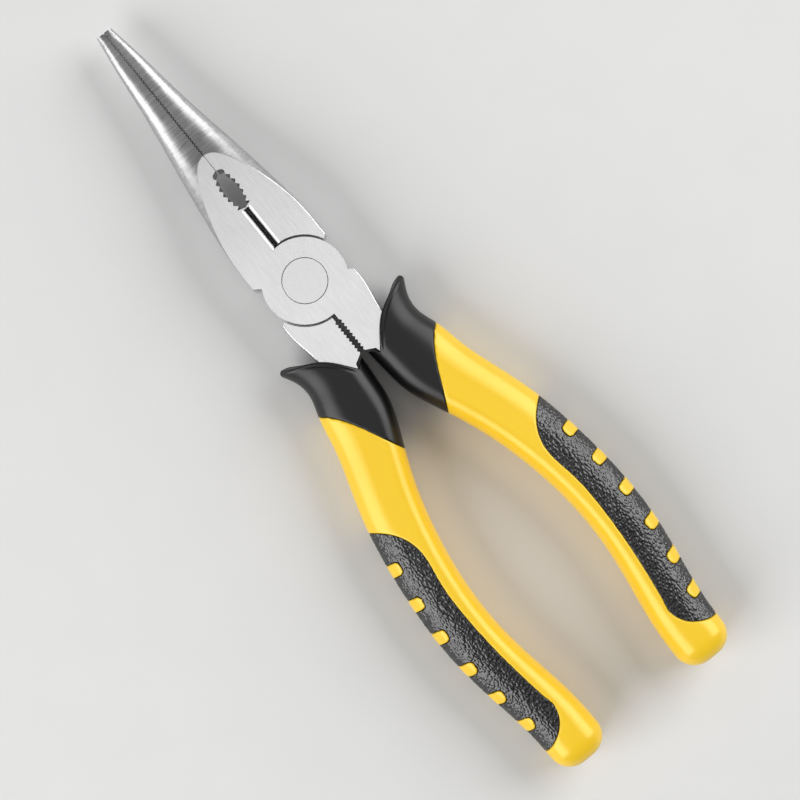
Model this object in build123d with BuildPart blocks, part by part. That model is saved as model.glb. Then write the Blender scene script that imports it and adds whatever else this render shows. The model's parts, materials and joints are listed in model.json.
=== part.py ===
from build123d import *
import math
import os

# Needle nose pliers, eight inch size, closed and lying flat. Millimetres.
# +Y points to the jaw tips, +Z is up, the hinge axis is the Z axis and
# z = 0 is the ground cheek on the underside of the joint.

# ---- joint ----
HEAD_THICK = 10.5  # across the two ground cheeks
MID = HEAD_THICK / 2  # height of the lap plane
LAP_GAP = 0.06  # between the two lap faces
DISC_R = 10.4  # round lap boss of each half
DISC_CLEAR = 0.3  # around the boss, in the other half
NOTCH_ANGLE = 26.5  # jaw shoulder, from the X axis
REAR_NOTCH_ANGLE = 23.7  # handle shoulder, from the X axis
EDGE_BREAK = 0.35  # rounding along the outer edges of the cheeks
RIM_BREAK = 0.15  # chamfer on the boss and on the recess around it
UPON = (Align.CENTER, Align.CENTER, Align.MIN)
UNDER = (Align.CENTER, Align.CENTER, Align.MAX)
THROUGH = 40.0  # a length that clears the whole thickness or width

# ---- pivot rivet ----
RIVET_R = 3.0
RIVET_HEAD_R = 5.45
RIVET_RIM = 0.15  # fine groove around each head, where its edge is broken
RIVET_HEAD_DEPTH = RIVET_HEAD_R - RIVET_R  # 90 degree countersink
RIVET_PLAY = 0.06  # radial running clearance in the front half

# ---- jaws ----
TIP_Y = 75.2
JAW_ROOT_Y = 6.0  # the contact side runs on into the joint up to here
JAW_SHOULDER = [(13.0, 7.2), (11.0, 5.75)]  # outer corner of the jaw, in plan
CONTACT_GAP = 0.05  # from the centre plane to each cutting edge
LAND_GAP = 0.12  # from the centre plane to the plain land behind the teeth
TOOTH_START_Y = 38.4
TOOTH_PITCH = 0.8
TOOTH_DEPTH = 0.42
TOOTH_GAP = 0.15  # from the centre plane to the middle of the teeth
CUTTER_END_Y = 21.8
# Cutter bevel, hollow ground: distance from the centre plane, depth under the cheek
CUTTER_BEVEL = [(1.25, 0.0), (0.88, 0.2), (0.56, 0.62), (0.28, 1.7), (CONTACT_GAP, MID - 0.15)]

# Closed jaws, as superellipse sections evenly spaced along Y: half width, half
# thickness and exponent, from the tip back. Where a section is thicker than the
# head, the ground cheeks cut it flat.
NOSE_SECTIONS = [
    (2.1, 1.75, 3.4),
    (3.47, 2.4, 2.7),
    (4.58, 3.1, 2.4),
    (5.85, 3.92, 2.35),
    (7.35, 5.0, 2.4),
    (8.8, 6.55, 2.6),
    (10.05, 8.3, 3.3),
    (10.7, 10.0, 5.0),
    (10.75, 11.0, 7.0),
]
NOSE_END_Y = 3.0  # last section, inside the joint
SECTION_POINTS = 24

# ---- pipe grip, between the cutter and the nose ----
GRIP_HOLE_LOW_Y = 22.0
GRIP_HOLE_HIGH_Y = 33.0
GRIP_HOLE_END_X = 1.3
GRIP_HOLE_LOW_CORNER = (1.9, 22.6)
GRIP_HOLE_HIGH_CORNER = (1.3, 32.55)
GRIP_TEETH_START_Y = 23.2
GRIP_HOLE_BULGE = 1.2
GRIP_TOOTH_DEPTH = 0.68
GRIP_TOOTH_PITCH = 1.58
GRIP_TEETH = 6

# ---- crimping slot, between the handles behind the joint ----
SLOT_HALF_WIDTH = 0.5
SLOT_ROOT_Y = -7.0
SLOT_TOOTH_DEPTH = 0.45
SLOT_TOOTH_PITCH = 1.0
SLOT_TOOTH_START_Y = -12.0
SLOT_TEETH = 9
SLOT_END = (0.8, -21.4)

# ---- tangs, inside the grips ----
TANG_THICK = 6.0
TANG_END_THICK = 5.0
TANG_END_Y = -113.0
TANG_RAMP_START_Y = -24.5
TANG_RAMP_END_Y = -31.5
TANG_INNER = [(3.0, -22.6), (4.4, -28.0), (6.9, -36.0), (11.6, -47.0), (15.3, -57.0)]
TANG_INNER += [(17.6, -67.0), (19.2, -80.0), (19.0, -95.0), (17.6, -107.0), (16.8, TANG_END_Y)]
TANG_OUTER = [(10.75, -5.1), (10.5, -11.0), (9.75, -16.5), (10.5, -22.0), (15.3, -37.0), (19.4, -49.0)]
TANG_OUTER += [(22.4, -61.0), (24.6, -76.0), (24.8, -92.0), (23.2, -106.0), (22.3, TANG_END_Y)]

# ---- grips ----
SKIN = 2.0  # thickness of the pad and of the collar over the sleeve
# Right grip, as sections across Y: y, inner x, outer x, half thickness, and
# where the crown lies, as a share of the width from the inner edge
GRIP_SECTIONS = [
    (-11.0, 1.0, 20.2, 6.9, 0.44),
    (-14.2, 1.0, 18.35, 6.9, 0.43),
    (-17.5, 0.9, 16.75, 6.9, 0.42),
    (-21.5, 0.9, 16.3, 6.9, 0.40),
    (-26.7, 1.25, 17.8, 7.0, 0.38),
    (-34.0, 2.15, 19.4, 7.0, 0.34),
    (-43.0, 5.6, 22.1, 7.1, 0.31),
    (-54.0, 10.1, 25.5, 7.2, 0.30),
    (-66.0, 13.4, 27.85, 7.2, 0.30),
    (-78.0, 15.3, 29.2, 7.1, 0.30),
    (-90.0, 15.65, 29.45, 7.0, 0.31),
    (-103.0, 14.2, 28.1, 6.9, 0.36),
    (-116.0, 12.3, 26.2, 7.0, 0.46),
    (-128.6, 11.9, 25.4, 7.0, 0.50),
]
GRIP_EXPONENT = 2.3
BUTT_RADIUS = 5.0
SPIGOT_END_Y = -30.0  # the sleeve ends here, inside the collar

# Front edge of the right collar, from the guard's tip to the tang
COLLAR_FRONT = [(17.2, -12.85), (15.8, -13.25), (13.7, -14.5), (9.7, -16.7), (7.4, -18.6)]
COLLAR_FRONT += [(5.3, -21.1), (3.2, -23.8)]
GUARD_TIP = (18.15, -12.95)  # round end of the guard, in plan
GUARD_TIP_END = (18.5, -13.9)
# Round the rest of the collar in plan, clear of its surface
COLLAR_ENVELOPE = [(0.9, -22.0), (-2.0, -22.0), (-2.0, -60.0), (30.0, -60.0), (24.0, -18.0)]
# Edge between the collar and the yellow sleeve, from outside to inside
COLLAR_REAR = [(20.6, -25.3), (17.8, -26.7), (14.3, -30.2), (10.9, -36.0), (7.9, -42.4), (4.6, -49.0)]
# Edge between the sleeve and the pad, from the upper end round to the lower
PAD_EDGE = [(30.0, -53.6), (25.8, -55.3), (21.0, -59.7), (19.0, -64.6), (19.8, -74.0)]
PAD_EDGE += [(20.35, -84.0), (19.5, -98.0), (17.8, -110.5)]
PAD_END = [(17.8, -110.5), (18.2, -116.3), (22.6, -120.2), (30.0, -121.0)]

RIB_Y = [-66.0, -75.5, -85.0, -95.0, -104.4, -113.5]
RIB_LENGTH = 3.3  # along the handle
RIB_REACH = 3.1  # in from the outer edge
RIB_BLANK = 12.0  # runs out past the edge
RIB_CORNER = 1.1
RIB_SLANT = 8.0  # degrees


def polar(radius, angle):
    """Point on a circle about the hinge axis, angle in degrees from +X."""
    return (radius * math.cos(math.radians(angle)), radius * math.sin(math.radians(angle)))


def cross_plane(y):
    """Plane across the tool at y, with its origin at mid thickness."""
    return Plane(origin=(0, y, MID), x_dir=(1, 0, 0), z_dir=(0, -1, 0))


def superellipse(x_in, x_out, half_thick, exponent, crown=0.5):
    """Points round |x/a|^n + |z/b|^n = 1, between x_in and x_out.

    The thickest place, the crown, is that share of the width from x_in."""
    width = x_out - x_in
    points = []
    for step in range(SECTION_POINTS):
        angle = 2 * math.pi * (step + 0.5) / SECTION_POINTS
        cosine, sine = math.cos(angle), math.sin(angle)
        reach = width * (1 - crown if cosine > 0 else crown)
        x = x_in + crown * width + reach * math.copysign(abs(cosine) ** (2 / exponent), cosine)
        z = half_thick * math.copysign(abs(sine) ** (2 / exponent), sine)
        points.append((x, z))
    return points


def jaw_contact_points(tooth_side):
    """Contact side of the right jaw in plan, from the joint to the tip.

    tooth_side is +1 or -1: the two jaws' nose teeth are half a pitch apart,
    so that they mesh."""
    points = [(CONTACT_GAP, JAW_ROOT_Y), (CONTACT_GAP, GRIP_HOLE_LOW_Y), GRIP_HOLE_LOW_CORNER]
    span = GRIP_HOLE_HIGH_Y - GRIP_HOLE_LOW_Y
    for step in range(2 * GRIP_TEETH):
        y = GRIP_TEETH_START_Y + step * GRIP_TOOTH_PITCH / 2
        x = GRIP_HOLE_END_X + GRIP_HOLE_BULGE * math.sin(math.pi * (y - GRIP_HOLE_LOW_Y) / span)
        if step % 2 == 0:
            x -= GRIP_TOOTH_DEPTH
        points.append((x, y))
    points += [GRIP_HOLE_HIGH_CORNER, (LAND_GAP, GRIP_HOLE_HIGH_Y), (LAND_GAP, TOOTH_START_Y)]
    tooth_count = math.ceil((TIP_Y - TOOTH_START_Y) / TOOTH_PITCH)
    for tooth in range(tooth_count):
        y = TOOTH_START_Y + (tooth + 0.5) * TOOTH_PITCH
        points.append((TOOTH_GAP + tooth_side * TOOTH_DEPTH / 2, y - TOOTH_PITCH / 4))
        points.append((TOOTH_GAP - tooth_side * TOOTH_DEPTH / 2, y + TOOTH_PITCH / 4))
    return points


def slot_points():
    """Crimping side of the right tang in plan, from the joint to the grip."""
    points = [(SLOT_HALF_WIDTH, SLOT_ROOT_Y), (SLOT_HALF_WIDTH, SLOT_TOOTH_START_Y)]
    for tooth in range(SLOT_TEETH):
        y = SLOT_TOOTH_START_Y - tooth * SLOT_TOOTH_PITCH
        points.append((SLOT_HALF_WIDTH + SLOT_TOOTH_DEPTH, y - SLOT_TOOTH_PITCH / 2))
        points.append((SLOT_HALF_WIDTH, y - SLOT_TOOTH_PITCH))
    points.append(SLOT_END)
    return points


def steel_half(tooth_side):
    """A forged half with its jaw on +X, its disc below the lap plane and
    its tang on -X. The other half is the same, turned over about Y."""
    notch_r = DISC_R + DISC_CLEAR
    with BuildPart() as jaw:
        for index, (half_width, half_thick, exponent) in enumerate(NOSE_SECTIONS):
            y = TIP_Y + index * (NOSE_END_Y - TIP_Y) / (len(NOSE_SECTIONS) - 1)
            with BuildSketch(cross_plane(y)):
                with BuildLine():
                    Spline(*superellipse(-half_width, half_width, half_thick, exponent), periodic=True)
                make_face()
        loft()
        with BuildSketch() as jaw_plan:
            with BuildLine():
                Polyline(
                    *jaw_contact_points(tooth_side),
                    (JAW_SHOULDER[0][0], TIP_Y + TOOTH_PITCH),
                    *JAW_SHOULDER,
                    polar(DISC_R, NOTCH_ANGLE),
                    (CONTACT_GAP, JAW_ROOT_Y),
                )
            make_face()
        extrude(amount=HEAD_THICK, mode=Mode.INTERSECT)
        cheek_edges = jaw.edges().group_by(Axis.Z)
        fillet([group.sort_by(Axis.X)[-1] for group in (cheek_edges[0], cheek_edges[-1])], EDGE_BREAK)
        # cutter bevels, from both cheeks down to the cutting edge
        for cheek in (-1, 1):
            bevel = [(x, cheek * (MID - depth)) for x, depth in CUTTER_BEVEL]
            with BuildSketch(cross_plane(JAW_ROOT_Y)):
                with BuildLine():
                    Spline(*bevel)
                    Polyline(bevel[-1], (-1, bevel[-1][1]), (-1, bevel[0][1]), bevel[0])
                make_face()
            extrude(amount=-(CUTTER_END_Y - JAW_ROOT_Y), mode=Mode.SUBTRACT)

    with BuildPart() as tang:
        with BuildSketch():
            with BuildLine():
                Polyline(*slot_points(), TANG_INNER[0])
                Spline(*TANG_INNER)
                Line(TANG_INNER[-1], TANG_OUTER[-1])
                Spline(*TANG_OUTER)
                Polyline(
                    TANG_OUTER[0],
                    polar(DISC_R, -REAR_NOTCH_ANGLE),
                    (SLOT_HALF_WIDTH, SLOT_ROOT_Y),
                )
            make_face()
        extrude(amount=HEAD_THICK)
        cheek_edges = tang.edges().group_by(Axis.Z)
        fillet([group.sort_by(Axis.X)[-1] for group in (cheek_edges[0], cheek_edges[-1])], EDGE_BREAK)
        with BuildSketch(Plane.YZ):
            with BuildLine():
                half = TANG_THICK / 2
                end_half = TANG_END_THICK / 2
                Polyline(
                    (0, 0),
                    (TANG_RAMP_START_Y, 0),
                    (TANG_RAMP_END_Y, MID - half),
                    (TANG_END_Y, MID - end_half),
                    (TANG_END_Y, MID + end_half),
                    (TANG_RAMP_END_Y, MID + half),
                    (TANG_RAMP_START_Y, HEAD_THICK),
                    (0, HEAD_THICK),
                    (0, 0),
                )
            make_face()
        extrude(amount=THROUGH, mode=Mode.INTERSECT)

    with BuildPart() as disc:
        Cylinder(DISC_R, MID - LAP_GAP / 2, align=UPON)
        chamfer(disc.edges().group_by(Axis.Z)[0], RIM_BREAK)

    with BuildPart() as half_part:
        add(jaw.part)
        add(tang.part.mirror(Plane.YZ))
        # recess for the other half's disc, above the lap plane
        with BuildSketch(Plane.XY.offset(MID - LAP_GAP / 2)):
            Circle(notch_r)
        extrude(amount=HEAD_THICK, mode=Mode.SUBTRACT)
        with Locations((0, 0, HEAD_THICK)):
            Cone(notch_r, notch_r + RIM_BREAK, RIM_BREAK, align=UNDER, mode=Mode.SUBTRACT)
        add(disc.part)
    return half_part.part


# ---- the two forged halves ----
TURN_OVER = Axis((0, 0, MID), (0, 1, 0))

with BuildPart() as rear_half:
    add(steel_half(1))
    # the rivet is swaged tight in this half
    with Locations((0, 0, 0)):
        Cone(RIVET_HEAD_R, RIVET_R, RIVET_HEAD_DEPTH, align=UPON, mode=Mode.SUBTRACT)
        Cylinder(RIVET_R, MID, align=UPON, mode=Mode.SUBTRACT)

with BuildPart() as front_half:
    add(steel_half(-1).rotate(TURN_OVER, 180))
    # running clearance around the shank and the upper head
    with Locations((0, 0, MID)):
        Cylinder(RIVET_R + RIVET_PLAY, MID, align=UPON, mode=Mode.SUBTRACT)
    with Locations((0, 0, HEAD_THICK - RIVET_HEAD_DEPTH)):
        Cone(
            RIVET_R + RIVET_PLAY,
            RIVET_HEAD_R + RIVET_PLAY,
            RIVET_HEAD_DEPTH,
            align=UPON,
            mode=Mode.SUBTRACT,
        )

with BuildPart() as pivot_rivet:
    with BuildSketch(Plane.XZ):
        with BuildLine():
            Polyline(
                (0, 0),
                (RIVET_HEAD_R - RIVET_RIM, 0),
                (RIVET_HEAD_R - RIVET_RIM, RIVET_RIM),
                (RIVET_R, RIVET_HEAD_DEPTH),
                (RIVET_R, HEAD_THICK - RIVET_HEAD_DEPTH),
                (RIVET_HEAD_R - RIVET_RIM, HEAD_THICK - RIVET_RIM),
                (RIVET_HEAD_R - RIVET_RIM, HEAD_THICK),
                (0, HEAD_THICK),
                (0, 0),
            )
        make_face()
    revolve(axis=Axis.Z)


def grip_loft(inset):
    """Rounded bar along the right grip, sunk by inset below its surface."""
    with BuildPart() as bar:
        for y, x_in, x_out, half_thick, crown in GRIP_SECTIONS:
            outline = superellipse(
                x_in + inset, x_out - inset, half_thick - inset, GRIP_EXPONENT, crown
            )
            with BuildSketch(cross_plane(y)):
                with BuildLine():
                    Spline(*outline, periodic=True)
                make_face()
        loft()
    return bar.part


def grip_outer_x(y):
    """Outer edge of the right grip at y."""
    for upper, lower in zip(GRIP_SECTIONS, GRIP_SECTIONS[1:]):
        if upper[0] >= y >= lower[0]:
            share = (upper[0] - y) / (upper[0] - lower[0])
            return upper[2] + share * (lower[2] - upper[2])
    raise ValueError(f"no grip at {y}")


# ---- right grip ----
BELOW = Plane.XY.offset(-5)
sleeve_bed = grip_loft(SKIN)

with BuildPart() as grip_body:
    add(grip_loft(0))
    fillet(grip_body.faces().sort_by(Axis.Y)[0].edges(), BUTT_RADIUS)

with BuildPart() as right_pad:
    add(grip_body.part)
    with BuildSketch(BELOW):
        with BuildLine():
            Spline(*PAD_EDGE)
            Spline(*PAD_END)
            Polyline(PAD_END[-1], (THROUGH, PAD_END[-1][1]), (THROUGH, PAD_EDGE[0][1]), PAD_EDGE[0])
        make_face()
    extrude(amount=THROUGH, mode=Mode.INTERSECT)
    for rib_y in RIB_Y:
        rib_x = grip_outer_x(rib_y) - RIB_REACH
        with BuildSketch(BELOW):
            with Locations(Location((rib_x, rib_y, 0), (0, 0, RIB_SLANT))):
                RectangleRounded(RIB_BLANK, RIB_LENGTH, RIB_CORNER, align=(Align.MIN, Align.CENTER))
        extrude(amount=THROUGH, mode=Mode.SUBTRACT)
    add(sleeve_bed, mode=Mode.SUBTRACT)

with BuildPart() as sleeve_spigot:
    add(sleeve_bed)
    split(bisect_by=Plane.XZ.offset(-SPIGOT_END_Y), keep=Keep.TOP)

# everything in front of the yellow sleeve's visible edge, bored for its spigot
with BuildPart() as grip_front:
    add(grip_body.part)
    with BuildSketch(BELOW):
        with BuildLine():
            Spline(*COLLAR_REAR)
            Polyline(COLLAR_REAR[-1], (-2, COLLAR_REAR[-1][1]), (-2, 0), (THROUGH, 0), COLLAR_REAR[0])
        make_face()
    extrude(amount=THROUGH, mode=Mode.INTERSECT)
    add(sleeve_spigot.part, mode=Mode.SUBTRACT)

with BuildPart() as right_collar:
    add(grip_front.part)
    with BuildSketch(BELOW):
        with BuildLine():
            Spline(*COLLAR_FRONT)
            Polyline(COLLAR_FRONT[-1], *COLLAR_ENVELOPE, GUARD_TIP_END)
            ThreePointArc(GUARD_TIP_END, GUARD_TIP, COLLAR_FRONT[0])
        make_face()
    extrude(amount=THROUGH, mode=Mode.INTERSECT)
    add(front_half.part, mode=Mode.SUBTRACT)

with BuildPart() as right_sleeve:
    add(grip_body.part)
    add(grip_front.part, mode=Mode.SUBTRACT)
    add(right_pad.part, mode=Mode.SUBTRACT)
    add(front_half.part, mode=Mode.SUBTRACT)

with BuildPart() as left_sleeve:
    add(right_sleeve.part.mirror(Plane.YZ))

with BuildPart() as left_collar:
    add(right_collar.part.mirror(Plane.YZ))

with BuildPart() as left_pad:
    add(right_pad.part.mirror(Plane.YZ))

pieces = {
    "front_half": front_half,
    "rear_half": rear_half,
    "pivot_rivet": pivot_rivet,
    "right_sleeve": right_sleeve,
    "right_collar": right_collar,
    "right_pad": right_pad,
    "left_sleeve": left_sleeve,
    "left_collar": left_collar,
    "left_pad": left_pad,
}
os.makedirs("parts", exist_ok=True)
for name, piece in pieces.items():
    piece.part.label = name
    export_step(piece.part, f"parts/{name}.step")
    print(name, piece.part.is_valid, len(piece.part.solids()), round(piece.part.volume))
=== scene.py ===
import json
import math

import bpy
import numpy as np
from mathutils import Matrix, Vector, noise

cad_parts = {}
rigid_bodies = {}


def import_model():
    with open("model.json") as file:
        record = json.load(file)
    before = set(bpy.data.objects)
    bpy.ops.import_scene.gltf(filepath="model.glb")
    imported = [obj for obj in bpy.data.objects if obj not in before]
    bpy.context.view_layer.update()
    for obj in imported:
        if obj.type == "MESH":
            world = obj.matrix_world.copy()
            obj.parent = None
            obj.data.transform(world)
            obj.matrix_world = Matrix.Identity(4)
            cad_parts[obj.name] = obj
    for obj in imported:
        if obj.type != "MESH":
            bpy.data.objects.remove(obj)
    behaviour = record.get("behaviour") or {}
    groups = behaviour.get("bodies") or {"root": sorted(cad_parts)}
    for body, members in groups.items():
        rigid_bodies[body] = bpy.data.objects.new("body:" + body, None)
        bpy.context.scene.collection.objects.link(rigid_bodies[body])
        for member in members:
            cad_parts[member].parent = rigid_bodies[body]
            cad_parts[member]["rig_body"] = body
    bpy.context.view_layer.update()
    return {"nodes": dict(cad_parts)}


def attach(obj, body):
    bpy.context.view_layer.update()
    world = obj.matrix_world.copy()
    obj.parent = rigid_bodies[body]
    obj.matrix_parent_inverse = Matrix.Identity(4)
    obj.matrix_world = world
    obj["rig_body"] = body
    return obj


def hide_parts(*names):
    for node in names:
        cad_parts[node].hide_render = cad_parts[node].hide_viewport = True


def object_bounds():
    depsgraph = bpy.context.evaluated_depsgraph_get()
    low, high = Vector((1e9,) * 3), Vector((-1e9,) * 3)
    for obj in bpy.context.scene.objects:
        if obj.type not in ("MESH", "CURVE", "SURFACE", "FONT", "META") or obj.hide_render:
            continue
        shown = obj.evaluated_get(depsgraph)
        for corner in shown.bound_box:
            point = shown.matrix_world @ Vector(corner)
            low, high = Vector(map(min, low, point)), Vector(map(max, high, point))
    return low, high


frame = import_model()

MM = 0.001
NODES = frame["nodes"]


# ---------------------------------------------------------------- materials
MIX_A, MIX_B, MIX_RESULT = 6, 7, 2  # colour sockets of the Mix node


class Shader:
    """A material's node tree, with short calls for the nodes used here."""

    def __init__(self, name, colour, metallic, roughness):
        self.material = bpy.data.materials.new(name)
        self.material.use_nodes = True
        self.nodes = self.material.node_tree.nodes
        self.links = self.material.node_tree.links
        self.bsdf = self.nodes["Principled BSDF"]
        self.set("Base Color", (*colour, 1))
        self.set("Metallic", metallic)
        self.set("Roughness", roughness)
        self.place = self.nodes.new("ShaderNodeTexCoord").outputs["Object"]

    def set(self, socket, value):
        self.bsdf.inputs[socket].default_value = value

    def link(self, output, socket):
        self.links.new(output, self.bsdf.inputs[socket])

    def _input(self, node, key, value):
        if hasattr(value, "is_output"):
            self.links.new(value, node.inputs[key])
        else:
            node.inputs[key].default_value = value

    def math(self, operation, a, b=0.0):
        node = self.nodes.new("ShaderNodeMath")
        node.operation = operation
        self._input(node, 0, a)
        self._input(node, 1, b)
        return node.outputs[0]

    def scaled(self, x, y, z):
        """Object position times (x, y, z), for stretching a texture."""
        node = self.nodes.new("ShaderNodeMapping")
        self.links.new(self.place, node.inputs["Vector"])
        node.inputs["Scale"].default_value = (x, y, z)
        return node.outputs["Vector"]

    def noise(self, vector, scale, detail=3.0, roughness=0.5):
        node = self.nodes.new("ShaderNodeTexNoise")
        self.links.new(vector, node.inputs["Vector"])
        node.inputs["Scale"].default_value = scale
        node.inputs["Detail"].default_value = detail
        node.inputs["Roughness"].default_value = roughness
        return node.outputs["Fac"]

    def remap(self, value, low, high, to_low, to_high):
        node = self.nodes.new("ShaderNodeMapRange")
        self.links.new(value, node.inputs["Value"])
        node.inputs["From Min"].default_value = low
        node.inputs["From Max"].default_value = high
        node.inputs["To Min"].default_value = to_low
        node.inputs["To Max"].default_value = to_high
        return node.outputs["Result"]

    def contrast(self, value):
        """A noise value spread over the whole range from 0 to 1."""
        return self.remap(value, 0.3, 0.7, 0, 1)

    def mix(self, share, a, b):
        """Colour a where share is 0, b where it is 1."""
        node = self.nodes.new("ShaderNodeMix")
        node.data_type = "RGBA"
        self._input(node, "Factor", share)
        for key, value in ((MIX_A, a), (MIX_B, b)):
            self._input(node, key, value if hasattr(value, "is_output") else (*value, 1))
        return node.outputs[MIX_RESULT]

    def bump(self, height, strength, distance):
        node = self.nodes.new("ShaderNodeBump")
        node.inputs["Strength"].default_value = strength
        node.inputs["Distance"].default_value = distance
        self.links.new(height, node.inputs["Height"])
        self.link(node.outputs["Normal"], "Normal")

    def normal_part(self, axis):
        """How far the surface faces along an object axis, from -1 to 1."""
        coordinates = self.nodes.new("ShaderNodeTexCoord")
        split = self.nodes.new("ShaderNodeSeparateXYZ")
        self.links.new(coordinates.outputs["Normal"], split.inputs[0])
        return split.outputs["XYZ".index(axis)]


CHEEK_FACING = (0.9975, 0.9995)  # Z part of the normal, from a bent surface to a flat cheek
RING_RATE = 9000.0  # radians per metre of radius: the rivet's rings are 0.7 mm apart


def steel(name):
    """Ground flat cheeks, and a nose brushed across its length."""
    s = Shader(name, (0.6, 0.6, 0.6), 1.0, 0.3)
    flat = s.remap(s.math("ABSOLUTE", s.normal_part("Z")), *CHEEK_FACING, 0, 1)
    bent = s.math("SUBTRACT", 1.0, flat)
    across = s.noise(s.scaled(180, 5200, 900), 1.0, 4.0, 0.6)
    along = s.noise(s.scaled(2600, 260, 600), 1.0, 3.0, 0.55)
    cloud = s.noise(s.scaled(90, 90, 90), 1.0, 3.0)
    brushed = s.mix(s.contrast(across), (0.38, 0.38, 0.385), (0.66, 0.66, 0.665))
    ground = s.mix(s.contrast(along), (0.74, 0.74, 0.745), (0.80, 0.80, 0.80))
    s.link(s.mix(flat, brushed, ground), "Base Color")
    rough_nose = s.remap(across, 0.25, 0.75, 0.26, 0.38)
    rough_flat = s.remap(cloud, 0.0, 1.0, 0.23, 0.29)
    s.link(
        s.math("ADD", s.math("MULTIPLY", flat, rough_flat), s.math("MULTIPLY", bent, rough_nose)),
        "Roughness",
    )
    height = s.math(
        "ADD", s.math("MULTIPLY", flat, s.math("MULTIPLY", along, 0.3)), s.math("MULTIPLY", bent, across)
    )
    s.bump(height, 0.3, 0.02 * MM)
    return s.material


def rivet_steel(name):
    """The ground rivet head, turned in faint rings."""
    s = Shader(name, (0.76, 0.76, 0.765), 1.0, 0.36)
    split = s.nodes.new("ShaderNodeSeparateXYZ")
    s.links.new(s.place, split.inputs[0])
    square = [s.math("POWER", s.math("ABSOLUTE", split.outputs[k]), 2.0) for k in (0, 1)]
    radius = s.math("SQRT", s.math("ADD", *square))
    ring = s.math("SINE", s.math("MULTIPLY", radius, RING_RATE))
    grain = s.noise(s.scaled(1500, 1500, 1500), 1.0, 3.0)
    s.link(s.mix(s.contrast(grain), (0.72, 0.72, 0.725), (0.79, 0.79, 0.79)), "Base Color")
    s.link(s.remap(grain, 0.0, 1.0, 0.23, 0.29), "Roughness")
    s.bump(s.math("ADD", ring, grain), 0.06, 0.01 * MM)
    return s.material


def yellow_plastic(name):
    """Glossy moulded yellow, slightly uneven in colour, with faint moulding texture."""
    s = Shader(name, (0.9, 0.6, 0.03), 0.0, 0.34)
    cloud = s.noise(s.scaled(45, 45, 45), 1.0, 2.0)
    s.link(s.mix(cloud, (0.9, 0.56, 0.014), (0.94, 0.61, 0.022)), "Base Color")
    fine = s.noise(s.scaled(900, 900, 900), 1.0, 3.0)
    s.link(s.remap(fine, 0.3, 0.7, 0.29, 0.35), "Roughness")
    s.set("Specular IOR Level", 1.0)
    s.set("Specular Tint", (1.0, 0.96, 0.5, 1))
    s.bump(fine, 0.1, 0.02 * MM)
    return s.material


def guard_rubber(name):
    """Smooth satin black elastomer."""
    s = Shader(name, (0.02, 0.02, 0.021), 0.0, 0.38)
    cloud = s.noise(s.scaled(70, 70, 70), 1.0, 3.0)
    fine = s.noise(s.scaled(2400, 2400, 2400), 1.0, 2.0)
    s.link(s.mix(cloud, (0.002, 0.002, 0.0021), (0.004, 0.004, 0.0042)), "Base Color")
    s.link(s.remap(cloud, 0.3, 0.7, 0.31, 0.39), "Roughness")
    s.set("Specular IOR Level", 0.42)
    s.bump(fine, 0.15, 0.012 * MM)
    return s.material


def pad_rubber(name):
    """Black elastomer, glossy on the tops of its moulded leather grain."""
    s = Shader(name, (0.02, 0.02, 0.022), 0.0, 0.3)
    fine = s.noise(s.scaled(3000, 3000, 3000), 1.0, 3.0)
    cloud = s.noise(s.scaled(400, 400, 400), 1.0, 2.0)
    s.link(s.mix(cloud, (0.002, 0.002, 0.0025), (0.006, 0.006, 0.007)), "Base Color")
    s.link(s.remap(fine, 0.3, 0.7, 0.16, 0.26), "Roughness")
    s.set("Specular IOR Level", 0.8)
    s.bump(fine, 0.3, 0.02 * MM)
    return s.material


def floor_paint(name):
    s = Shader(name, (0.85, 0.85, 0.845), 0.0, 0.75)
    grain = s.noise(s.scaled(60, 60, 60), 1.0, 4.0)
    s.link(s.mix(grain, (0.71, 0.71, 0.705), (0.74, 0.74, 0.735)), "Base Color")
    return s.material


def paint(piece, material):
    piece.data.materials.clear()
    piece.data.materials.append(material)


# ---------------------------------------------------------------- moulded grips
SOFTEN_FACTOR = 0.5


def moulded_copy(node, name, voxel, smoothing):
    """A fine, even mesh of a CAD node, with its sharp edges softened."""
    piece = bpy.data.objects.new(name, NODES[node].data.copy())
    bpy.context.scene.collection.objects.link(piece)
    remesh = piece.modifiers.new("remesh", "REMESH")
    remesh.mode = "VOXEL"
    remesh.voxel_size = voxel
    remesh.use_smooth_shade = True
    soften = piece.modifiers.new("soften", "SMOOTH")
    soften.factor = SOFTEN_FACTOR
    soften.iterations = smoothing
    bpy.context.view_layer.update()
    graph = bpy.context.evaluated_depsgraph_get()
    mesh = bpy.data.meshes.new_from_object(piece.evaluated_get(graph))
    piece.modifiers.clear()
    piece.data = mesh
    for face in mesh.polygons:
        face.use_smooth = True
    return piece


def shift_vertices(piece, depth_at):
    """Moves each vertex inwards along its normal by depth_at(its position)."""
    mesh = piece.data
    moved = [vertex.co - vertex.normal * depth_at(vertex.co) for vertex in mesh.vertices]
    for vertex, place in zip(mesh.vertices, moved):
        vertex.co = place
    mesh.update()


# Front edge of a collar in plan, mm, for the lip that follows it
LIP_EDGE_X = [17.2, 15.8, 13.7, 9.7, 7.4, 5.3, 3.2]
LIP_EDGE_Y = [-12.85, -13.25, -14.5, -16.7, -18.6, -21.1, -23.8]
LIP_WIDTH = 0.95
LIP_GROOVE = 0.17
LIP_GROOVE_SPREAD = 0.24
LIP_FADE = 1.8  # the groove runs out towards the inner side
LIP_OVERRUN = 1  # it goes this far past the outermost point
LIP_CURVE_DEGREE = 4
lip_curve = np.poly1d(np.polyfit(LIP_EDGE_X, LIP_EDGE_Y, LIP_CURVE_DEGREE))
lip_slope = lip_curve.deriv()


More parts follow.
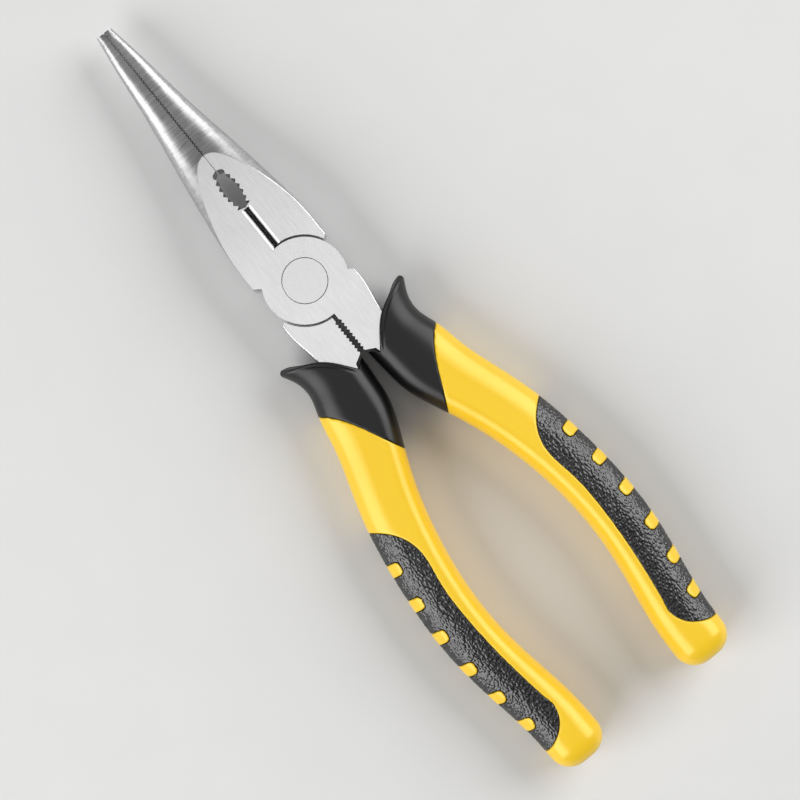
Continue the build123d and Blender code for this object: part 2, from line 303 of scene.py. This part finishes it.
def lip_groove(point):
    """Depth of the shallow groove that sets off the lip along a collar's front."""
    x, y = abs(point.x) / MM, point.y / MM
    if x > LIP_EDGE_X[0] + LIP_OVERRUN:
        return 0.0
    behind = (lip_curve(x) - y) / math.hypot(1, lip_slope(x))
    fade = min(max((x - LIP_EDGE_X[-1]) / LIP_FADE, 0.0), 1.0)
    return fade * LIP_GROOVE * MM * math.exp(-(((behind - LIP_WIDTH) / LIP_GROOVE_SPREAD) ** 2))


GRAIN_HEIGHT = 0.2 * MM
GRAIN_CELL = 0.72 * MM
GRAIN_STRETCH = 0.72  # pebbles are longer along Y
CREASE_WIDTH = 0.35  # share of a cell
WARP_SPACING = 1.6  # mm, bends the rows of pebbles
WARP_REACH = 0.45  # mm
PEBBLE_SPACING = 0.5  # mm, unevenness on top of the pebbles
PEBBLE_UNEVENNESS = 0.25
GRAIN_SEED = 1
noise.seed_set(GRAIN_SEED)  # without a seed the grain would be another one on each run


def leather_height(point):
    """Height of the moulded grain at a point, from 0 in a crease to 1 on a pebble."""
    bent = point + noise.noise_vector(point / (WARP_SPACING * MM)) * WARP_REACH * MM
    stretched = Vector((bent.x, bent.y * GRAIN_STRETCH, bent.z)) / GRAIN_CELL
    near, second = noise.voronoi(stretched)[0][:2]
    crease = min((second - near) / CREASE_WIDTH, 1.0)
    uneven = PEBBLE_UNEVENNESS * noise.noise(point / (PEBBLE_SPACING * MM))
    return crease * (1 - PEBBLE_UNEVENNESS + uneven)


def leather_depth(point):
    return GRAIN_HEIGHT * (1.0 - leather_height(point))


def stand_for(piece, node):
    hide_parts(node)
    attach(piece, NODES[node]["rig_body"])


steel_material = steel("steel_ground_and_brushed")
for node in ("front_half", "rear_half"):
    paint(NODES[node], steel_material)
paint(NODES["pivot_rivet"], rivet_steel("steel_rivet_head"))
yellow = yellow_plastic("yellow_moulding")
guard = guard_rubber("guard_rubber")
pad = pad_rubber("pad_rubber")
# part, slot, material, voxel size, smoothing passes, depth of its relief
MOULDINGS = (
    ("sleeve", "yellow_grip", yellow, 0.28 * MM, 5, None),
    ("collar", "black_guard", guard, 0.2 * MM, 8, lip_groove),
    ("pad", "black_pad", pad, 0.18 * MM, 3, leather_depth),
)
for side in ("right", "left"):
    for part, slot, material, voxel, smoothing, relief in MOULDINGS:
        node = side + "_" + part
        piece = moulded_copy(node, node + "_moulding", voxel, smoothing)
        if relief:
            shift_vertices(piece, relief)
        paint(piece, material)
        stand_for(piece, node)


# ---------------------------------------------------------------- floor, lights, camera
FLOOR_SIZE = 6
FLOOR_GAP = 0.02 * MM  # below the lowest point of the tool


def add_floor():
    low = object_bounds()[0]
    bpy.ops.mesh.primitive_plane_add(size=FLOOR_SIZE, location=(0, 0, low.z - FLOOR_GAP))
    floor = bpy.context.object
    floor.name = "floor"
    paint(floor, floor_paint("pale_floor"))


def area_light(name, place, target, size, power):
    lamp = bpy.data.lights.new(name, "AREA")
    lamp.shape = "RECTANGLE"
    lamp.size, lamp.size_y = size
    lamp.energy = power
    holder = bpy.data.objects.new(name, lamp)
    holder.location = place
    holder.rotation_euler = (Vector(target) - Vector(place)).to_track_quat("-Z", "Y").to_euler()
    bpy.context.scene.collection.objects.link(holder)


VIEW_CENTRE = Vector((-0.33, -35.6, 5.0)) * MM
VIEW_WIDTH = 188.4 * MM
VIEW_TURN = math.radians(-39.1)  # the tool lies aslant in the picture
SENSOR_WIDTH = 36
FOCAL_LENGTH = 110
CLIP_START = 0.01


def add_camera():
    lens = bpy.data.cameras.new("camera")
    lens.sensor_width = SENSOR_WIDTH
    lens.lens = FOCAL_LENGTH
    lens.clip_start = CLIP_START
    camera = bpy.data.objects.new("camera", lens)
    distance = VIEW_WIDTH * lens.lens / lens.sensor_width
    camera.location = VIEW_CENTRE + Vector((0, 0, distance))
    camera.rotation_euler = (0, 0, VIEW_TURN)
    bpy.context.scene.collection.objects.link(camera)
    bpy.context.scene.camera = camera


OVERHEAD_Y = 0.03
OVERHEAD_HEIGHT = 1.5
OVERHEAD_SIZE = (1.2, 0.45)
OVERHEAD_POWER = 1.7
SOFTBOX_X = 1.05
SOFTBOX_Y = -0.04
SOFTBOX_HEIGHT = 0.62
SOFTBOX_SIZE = (1.1, 1.0)
SOFTBOX_POWER = 14
WORLD_STRENGTH = 0.2


def add_lights():
    """A softbox overhead that the flat cheeks mirror, its front edge short of what
    the sloping nose mirrors, and a softbox to each side for the rounded grips."""
    overhead = (0, OVERHEAD_Y, OVERHEAD_HEIGHT)
    area_light("overhead", overhead, (0, OVERHEAD_Y, 0), OVERHEAD_SIZE, OVERHEAD_POWER)
    for name, x in (("left_softbox", -SOFTBOX_X), ("right_softbox", SOFTBOX_X)):
        place = (x, SOFTBOX_Y, SOFTBOX_HEIGHT)
        area_light(name, place, (0, SOFTBOX_Y, 0), SOFTBOX_SIZE, SOFTBOX_POWER)
    world = bpy.data.worlds.new("studio")
    world.use_nodes = True
    background = world.node_tree.nodes["Background"]
    background.inputs["Color"].default_value = (1.0, 1.0, 1.0, 1)
    background.inputs["Strength"].default_value = WORLD_STRENGTH
    bpy.context.scene.world = world


add_floor()
add_lights()
add_camera()
bpy.context.scene.view_settings.view_transform = "Standard"
